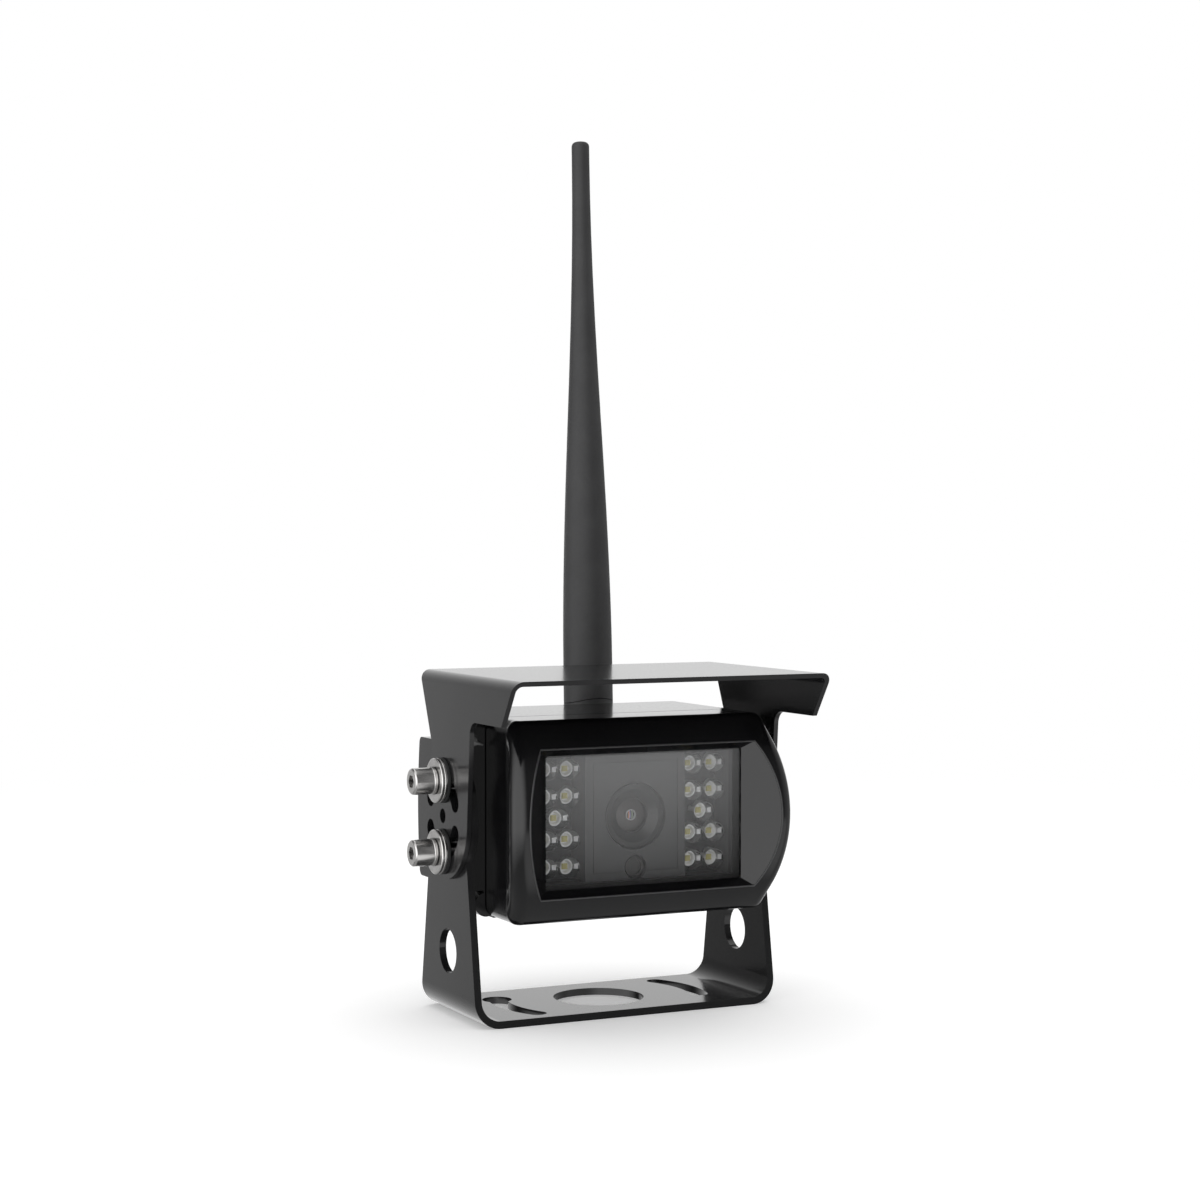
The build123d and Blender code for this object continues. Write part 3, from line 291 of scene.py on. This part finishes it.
def resin_material():
    """Clear cast resin that lets light through to the lead frame inside it."""
    material, tree, bsdf = new_material("led_resin", RESIN_COLOR, roughness=0.03,
                                        Transmission_Weight=1.0, IOR=1.2)
    path = tree.nodes.new("ShaderNodeLightPath")
    clear = tree.nodes.new("ShaderNodeBsdfTransparent")
    passing = larger(tree, path.outputs["Is Shadow Ray"], path.outputs["Is Diffuse Ray"])
    resin = blend(tree, passing, bsdf.outputs["BSDF"], clear.outputs["BSDF"])
    tree.links.new(resin, tree.nodes["Material Output"].inputs["Surface"])
    bump(tree, bsdf, noise(tree, RESIN_RIPPLE_MM), depth_mm=0.02, strength=0.15)
    return material


LENS_GLASS_DARK = (0.045, 0.04, 0.04)
LENS_GLASS_LIGHT = (0.06, 0.052, 0.052)
LENS_GLASS_ROUGH = (0.03, 0.07)
LENS_HAZE_MM = 3.0


def lens_glass_material():
    """Coated optical glass, clear enough to show the stop behind it."""
    material, tree, bsdf = new_material("lens_glass", LENS_GLASS_LIGHT, LENS_GLASS_ROUGH[0],
                                        IOR=1.6, Alpha=0.12)
    haze = noise(tree, LENS_HAZE_MM)
    tree.links.new(tint(tree, haze, LENS_GLASS_DARK, LENS_GLASS_LIGHT), bsdf.inputs["Base Color"])
    tree.links.new(spread(tree, haze, *LENS_GLASS_ROUGH), bsdf.inputs["Roughness"])
    return material


PUPIL_R = 1.1
PUPIL_ROUGH = (0.08, 0.16)
PUPIL_GRAIN_MM = 0.6
PUPIL_DARK = (0.03, 0.03, 0.032)
PUPIL_ORANGE = (0.75, 0.3, 0.1)
PUPIL_LILAC = (0.35, 0.3, 0.55)
PUPIL_BLUE = (0.12, 0.12, 0.2)
PUPIL_GREEN = (0.45, 0.55, 0.42)
# Painted glints across the inner lens, in its base colour, from its left edge at 0 to its right edge at 1
PUPIL_PAINTED_GLINTS = [(0.2, PUPIL_DARK), (0.3, PUPIL_ORANGE), (0.42, PUPIL_LILAC), (0.52, PUPIL_BLUE),
                (0.62, PUPIL_DARK), (0.74, PUPIL_GREEN), (0.86, PUPIL_DARK)]


def pupil_material():
    """Small inner lens with painted glints of orange, lilac and pale green across its width in its base
    colour.
    """
    material, tree, bsdf = new_material("lens_pupil", PUPIL_DARK, PUPIL_ROUGH[0], IOR=1.7)
    side = coordinate(tree, object_coords(tree), "X")
    across = map_range(tree, side, (-PUPIL_R * MM, PUPIL_R * MM), (0.0, 1.0))
    # Painted glints: the colour ramp sets the base colour by place across the lens
    tree.links.new(ramp(tree, across.outputs["Result"], PUPIL_PAINTED_GLINTS), bsdf.inputs["Base Color"])
    tree.links.new(spread(tree, noise(tree, PUPIL_GRAIN_MM), *PUPIL_ROUGH), bsdf.inputs["Roughness"])
    return material


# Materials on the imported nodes

MATERIALS = {name: grained(name, **look) for name, look in PLAIN_LOOKS.items()}
MATERIALS["steel"] = steel_material()
MATERIALS["window"] = window_material()
MATERIALS["led_resin"] = resin_material()
MATERIALS["lens_glass"] = lens_glass_material()
MATERIALS["lens_pupil"] = pupil_material()


def dress_nodes():
    """Every CAD node takes the look of its material slot, and gloss sees past the window."""
    for part in frame["record"]["subparts"]:
        mesh = nodes[part["node"]].data
        mesh.materials.clear()
        mesh.materials.append(MATERIALS[part["material_slot"]])
    nodes["window_glass"].visible_glossy = False


# Rounded edges on the hard pieces

EDGE_ROUND_MM = {
    "u_bracket": 0.25,
    "sun_visor": 0.22,
    "front_bezel": 0.4,
    "rear_housing": 0.3,
    "lens_barrel": 0.12,
    "lens_panel": 0.12,
    "photocell": 0.12,
    "window_frame": 0.1,
    "antenna_fork": 0.15,
    "antenna_knuckle": 0.2,
    "power_inlet": 0.2,
}
EDGE_ANGLE = radians(32)
EDGE_SEGMENTS = 2


def round_edges():
    """A fine bevel on the sharp edges of each of those nodes."""
    for name, width in EDGE_ROUND_MM.items():
        bevel = nodes[name].modifiers.new("edges", "BEVEL")
        bevel.width = width * MM
        bevel.segments = EDGE_SEGMENTS
        bevel.limit_method = "ANGLE"
        bevel.angle_limit = EDGE_ANGLE
        bevel.use_clamp_overlap = True
        bevel.harden_normals = True


# Building blocks of the added pieces

TURN_STEPS = 40
SHARP_ANGLE = radians(40)


def circle_angles(steps):
    """The angles of that many equal steps around a circle."""
    return [2 * pi * k / steps for k in range(steps)]


def turned(shape, middle, profile):
    """Adds a solid of revolution to shape: (radius, y) points in mm turned about Y through middle."""
    rings = []
    for radius, y in profile:
        if radius == 0:
            rings.append([shape.verts.new((middle.x, y * MM, middle.z))] * TURN_STEPS)
            continue
        reach = radius * MM
        spots = [(middle.x + reach * cos(a), y * MM, middle.z + reach * sin(a))
                 for a in circle_angles(TURN_STEPS)]
        rings.append([shape.verts.new(spot) for spot in spots])
    for first, second in zip(rings, rings[1:]):
        for k in range(TURN_STEPS):
            corners = [first[k - 1], first[k], second[k], second[k - 1]]
            shape.faces.new(list(dict.fromkeys(corners)))


def piece(name, shape, look):
    """Turns a bmesh into a smooth piece that rides on the camera."""
    bmesh.ops.recalc_face_normals(shape, faces=shape.faces)
    mesh = bpy.data.meshes.new(name)
    shape.to_mesh(mesh)
    shape.free()
    mesh.shade_smooth()
    mesh.set_sharp_from_angle(angle=SHARP_ANGLE)
    mesh.materials.append(MATERIALS[look])
    thing = bpy.data.objects.new(name, mesh)
    bpy.context.scene.collection.objects.link(thing)
    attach(thing, "camera")
    return thing


# Painted highlight along the window recess's edge: a fine lighter bead

RIM_BEAD_R = 0.22
RIM_BEAD_SIDES = 10
CREASE_ANGLE = radians(18)
WELD_MM = 0.001
DEPTH_AXIS = Vector((0, 1, 0))


def recess_rim():
    """The edge between the bezel's turned front and its window recess, as a ring of points."""
    shape = bmesh.new()
    shape.from_mesh(nodes["front_bezel"].data)
    bmesh.ops.remove_doubles(shape, verts=shape.verts, dist=WELD_MM * MM)
    creases = {e for e in shape.edges if len(e.link_faces) == 2 and e.calc_face_angle() > CREASE_ANGLE}
    first = min(creases, key=lambda e: e.verts[0].co.y + e.verts[1].co.y)
    start, spot = first.verts
    points = [start.co.copy()]
    used = {first}
    while spot is not start:
        points.append(spot.co.copy())
        ways = [e for e in spot.link_edges if e in creases and e not in used]
        onward = min(ways, key=lambda e: e.other_vert(spot).co.y)
        used.add(onward)
        spot = onward.other_vert(spot)
    shape.free()
    return points


def recess_highlight_bead():
    """A fine lighter bead along the recess's edge, a painted highlight."""
    points = recess_rim()
    bead = bmesh.new()
    rings = []
    for k, point in enumerate(points):
        along = (points[(k + 1) % len(points)] - points[k - 1]).normalized()
        across = along.cross(DEPTH_AXIS).normalized() * RIM_BEAD_R * MM
        out = across.cross(along)
        angles = circle_angles(RIM_BEAD_SIDES)
        rings.append([bead.verts.new(point + across * cos(a) + out * sin(a)) for a in angles])
    for k, ring in enumerate(rings):
        for step in range(RIM_BEAD_SIDES):
            bead.faces.new([rings[k - 1][step - 1], rings[k - 1][step], ring[step], ring[step - 1]])
    piece("recess_highlight_bead", bead, "painted_rim_highlight")


# LED domes

LED_R = 2.5
LED_FLANGE_R = 2.9
LED_FLANGE_T = 1.0
DOME_ARC_STEPS = 10


def middles(name, reach_mm):
    """The middle of each separate solid of a node whose solids lie at least reach_mm apart."""
    groups = []
    for vertex in nodes[name].data.vertices:
        near = [g for g in groups if (g[0] - vertex.co).length < reach_mm * MM]
        if near:
            near[0].append(vertex.co.copy())
        else:
            groups.append([vertex.co.copy()])
    return [sum(g, Vector()) / len(g) for g in groups]


def dome_profile(tip_y, board_y):
    """Half the outline of a dome on its flange, from its tip to the board."""
    straight_y = tip_y + LED_R
    flange_y = board_y - LED_FLANGE_T
    arc = [pi / 2 * k / DOME_ARC_STEPS for k in range(1, DOME_ARC_STEPS + 1)]
    crown = [(LED_R * sin(a), straight_y - LED_R * cos(a)) for a in arc]
    flange = [(LED_R, flange_y), (LED_FLANGE_R, flange_y), (LED_FLANGE_R, board_y)]
    return [(0, tip_y), *crown, *flange, (0, board_y)]


def resin_domes():
    """Solid cast domes, so that the cup inside each LED shows magnified."""
    low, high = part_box("led_domes")
    profile = dome_profile(low.y / MM, high.y / MM)
    shape = bmesh.new()
    for middle in middles("led_dies", LED_R):
        turned(shape, middle, profile)
    domes = piece("resin_domes", shape, "led_resin")
    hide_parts("led_domes")


# Lens optics, whose depths are behind the front of the front element

STOP_R = 4.15
STOP_T = 0.3
STOP_DEPTH = 0.55
STOP_RIM_DEPTH = 1.5
PUPIL_RING_R = 1.4
PUPIL_RING_WALL = 0.28
RING_LIP = 0.1
RING_OUTER_SLOPE = 0.05
PUPIL_SINK = 0.1
PUPIL_CROWN = 0.35
PUPIL_ARC_STEPS = 6


def stop_profile(stop_y, rim_y):
    """Shallow cone from the ring's edge back to its rim."""
    back_y = rim_y + STOP_T
    front = [(PUPIL_RING_R, stop_y), (STOP_R, rim_y)]
    return [*front, (STOP_R, back_y), (PUPIL_RING_R, back_y), front[0]]


def ring_profile(stop_y, rim_y):
    """Thin tube with a lip that stands before the stop."""
    inner_r = PUPIL_RING_R - PUPIL_RING_WALL
    lip_y = stop_y - RING_LIP
    lip = [(inner_r, stop_y), (inner_r + RING_LIP, lip_y), (PUPIL_RING_R - RING_OUTER_SLOPE, lip_y)]
    return [*lip, (PUPIL_RING_R, stop_y), (PUPIL_RING_R, rim_y), (inner_r, rim_y), lip[0]]


def pupil_profile(stop_y, rim_y):
    """Crowned lens sunk behind the stop's edge."""
    tip_y = stop_y + PUPIL_SINK
    parts = [k / PUPIL_ARC_STEPS for k in range(PUPIL_ARC_STEPS + 1)]
    crown = [(PUPIL_R * t, tip_y + PUPIL_CROWN * t * t) for t in parts]
    return [*crown, (PUPIL_R, rim_y), (0, rim_y)]


def lens_optics():
    """The stop, ring and small inner lens that show through the front element."""
    low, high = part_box("lens_element")
    middle = (low + high) / 2
    front_y = low.y / MM
    stop_y = front_y + STOP_DEPTH
    rim_y = front_y + STOP_RIM_DEPTH
    pieces = [("lens_stop", stop_profile, "lens_metal"),
              ("lens_ring", ring_profile, "lens_metal"),
              ("lens_pupil", pupil_profile, "lens_glass")]
    for name, profile, slot_name in pieces:
        shape = bmesh.new()
        turned(shape, middle, profile(stop_y, rim_y))
        piece(name, shape, name)


# Floor

FLOOR_HALF = 20.0
FLOOR_NEAR = 0.16
FLOOR_FAR = 0.60
FLOOR_GLOW = 0.29
FLOOR_TONE = 0.90


def emission(tree, strength):
    """White light of that strength."""
    node = tree.nodes.new("ShaderNodeEmission")
    node.inputs["Strength"].default_value = strength
    return node.outputs["Emission"]


def floor_material():
    """Pale floor that holds the shadow near the object and fades to white away from it."""
    material = bpy.data.materials.new("floor")
    material.use_nodes = True
    tree = material.node_tree
    tree.nodes.remove(tree.nodes["Principled BSDF"])
    paint = tree.nodes.new("ShaderNodeBsdfDiffuse")
    paint.inputs["Color"].default_value = (FLOOR_TONE, FLOOR_TONE, FLOOR_TONE, 1.0)
    near = tree.nodes.new("ShaderNodeAddShader")
    tree.links.new(paint.outputs["BSDF"], near.inputs[0])
    tree.links.new(emission(tree, FLOOR_GLOW), near.inputs[1])
    distance = tree.nodes.new("ShaderNodeVectorMath")
    distance.operation = "LENGTH"
    tree.links.new(object_coords(tree), distance.inputs[0])
    away = map_range(tree, distance.outputs["Value"], (FLOOR_NEAR, FLOOR_FAR), (0.0, 1.0), smooth=True)
    white = emission(tree, strength=1.0)
    seen = blend(tree, away.outputs["Result"], near.outputs["Shader"], white)
    path = tree.nodes.new("ShaderNodeLightPath")
    lit = blend(tree, path.outputs["Is Diffuse Ray"], seen, paint.outputs["BSDF"])
    tree.links.new(lit, tree.nodes["Material Output"].inputs["Surface"])
    return material


def floor():
    """A wide plane that gloss doesn't see, because the world holds its mirror image."""
    mesh = bpy.data.meshes.new("floor")
    shape = bmesh.new()
    bmesh.ops.create_grid(shape, x_segments=1, y_segments=1, size=FLOOR_HALF)
    shape.to_mesh(mesh)
    shape.free()
    mesh.materials.append(floor_material())
    plane = bpy.data.objects.new("floor", mesh)
    plane.visible_glossy = False
    bpy.context.scene.collection.objects.link(plane)


# World, with the patches of light that gloss reflects

WORLD_DIM = 0.05
WORLD_FILL = 0.62
MIRRORED_PATCHES = {
    "backdrop": dict(towards=(0.30, 0.954, 0.0), tone=1.1, begins=0.60, full=0.95),
    "room": dict(towards=(0.20, -0.98, 0.0), tone=0.18, begins=0.5, full=0.9),
    "floor in front": dict(towards=(0.40, -0.88, -0.25), tone=1.0, begins=0.55, full=0.9,
                           heights=(-0.14, -0.20), smooth_heights=True),
    "left wall": dict(towards=(-0.906, -0.423, 0.0), tone=1.95, begins=0.20, full=0.87,
                      heights=(-0.66, -0.15)),
    "right side": dict(towards=(1.0, -0.08, 0.0), tone=0.46, begins=0.6, full=0.9),
    "floor below": dict(towards=(0.0, 0.0, -1.0), tone=0.36, begins=0.2, full=0.6),
}


def glow(tree, view, towards, tone, begins, full, heights=None, smooth_heights=False):
    """A patch of that tone around a direction, soft between two cosines and, if given, two heights."""
    facing = tree.nodes.new("ShaderNodeVectorMath")
    facing.operation = "DOT_PRODUCT"
    facing.inputs[1].default_value = towards
    tree.links.new(view, facing.inputs[0])
    patch = map_range(tree, facing.outputs["Value"], (begins, full), (WORLD_DIM, tone), smooth=True)
    if heights:
        height = coordinate(tree, view, "Z")
        fade = map_range(tree, height, heights, (WORLD_DIM, tone), smooth_heights)
        tree.links.new(fade.outputs["Result"], patch.inputs["To Max"])
    return patch.outputs["Result"]


def mirrored_studio(tree):
    """The brightest of the patches in each direction of view."""
    view = tree.nodes.new("ShaderNodeTexCoord").outputs["Generated"]
    brightest, *others = [glow(tree, view, **patch) for patch in MIRRORED_PATCHES.values()]
    for other in others:
        brightest = larger(tree, brightest, other)
    return brightest


def white_background(tree):
    """A white background whose strength is 1 until it is set or linked."""
    node = tree.nodes.new("ShaderNodeBackground")
    node.inputs["Color"].default_value = WHITE
    return node


def studio_world():
    """White wherever the camera looks, even fill light, and the mirrored studio for gloss."""
    world = bpy.data.worlds.new("studio")
    bpy.context.scene.world = world
    # Left out of light sampling, so that gloss finds the patches by direction
    world.cycles.sampling_method = "NONE"
    world.use_nodes = True
    tree = world.node_tree
    tree.nodes.remove(tree.nodes["Background"])
    seen = white_background(tree)
    fill = white_background(tree)
    fill.inputs["Strength"].default_value = WORLD_FILL
    mirrored = white_background(tree)
    tree.links.new(mirrored_studio(tree), mirrored.inputs["Strength"])
    path = tree.nodes.new("ShaderNodeLightPath")
    light = blend(tree, path.outputs["Is Glossy Ray"],
                  fill.outputs["Background"], mirrored.outputs["Background"])
    clear = larger(tree, path.outputs["Is Camera Ray"], path.outputs["Is Transmission Ray"])
    sky = blend(tree, clear, light, seen.outputs["Background"])
    tree.links.new(sky, tree.nodes["World Output"].inputs["Surface"])


# Lamps and camera

BODY_MIDDLE = (0.0, 0.0, 0.05)
SOFTBOXES = {
    "left_box": dict(place=(-1.15, -0.55, 0.10), width=0.6, height=0.9, brightness=1.8, in_gloss=False),
    "top_box": dict(place=(0.15, 0.20, 1.5), width=1.7, height=1.7, brightness=1.1, in_gloss=True),
}


def softbox(name, place, width, height, brightness, in_gloss):
    """A rectangular lamp aimed at the body, whose face has that brightness, where 1 is white."""
    lamp = bpy.data.lights.new(name, "AREA")
    lamp.shape = "RECTANGLE"
    lamp.size = width
    lamp.size_y = height
    lamp.energy = brightness * pi * width * height
    holder = bpy.data.objects.new(name, lamp)
    holder.location = place
    aim = Vector(BODY_MIDDLE) - Vector(place)
    holder.rotation_euler = aim.to_track_quat("-Z", "Y").to_euler()
    holder.visible_glossy = in_gloss
    bpy.context.scene.collection.objects.link(holder)


CAMERA_LENS_MM = 71.94
CAMERA_SENSOR_MM = 36.0
CAMERA_NEAR = 0.01
CAMERA_FAR = 100.0
CAMERA_PLACE = (-0.264, -0.547, 0.1195)
CAMERA_PITCH = radians(88.42)
CAMERA_TURN = radians(-25.8)


def camera():
    """The photograph's view: from the left front, nearly level."""
    data = bpy.data.cameras.new("camera")
    data.lens = CAMERA_LENS_MM
    data.sensor_width = CAMERA_SENSOR_MM
    data.clip_start = CAMERA_NEAR
    data.clip_end = CAMERA_FAR
    holder = bpy.data.objects.new("camera", data)
    holder.location = CAMERA_PLACE
    holder.rotation_euler = (CAMERA_PITCH, 0.0, CAMERA_TURN)
    bpy.context.scene.collection.objects.link(holder)
    bpy.context.scene.camera = holder


dress_nodes()
round_edges()
recess_highlight_bead()
resin_domes()
lens_optics()
floor()
studio_world()
for name, box in SOFTBOXES.items():
    softbox(name, **box)
camera()
bpy.context.scene.view_settings.view_transform = "Standard"
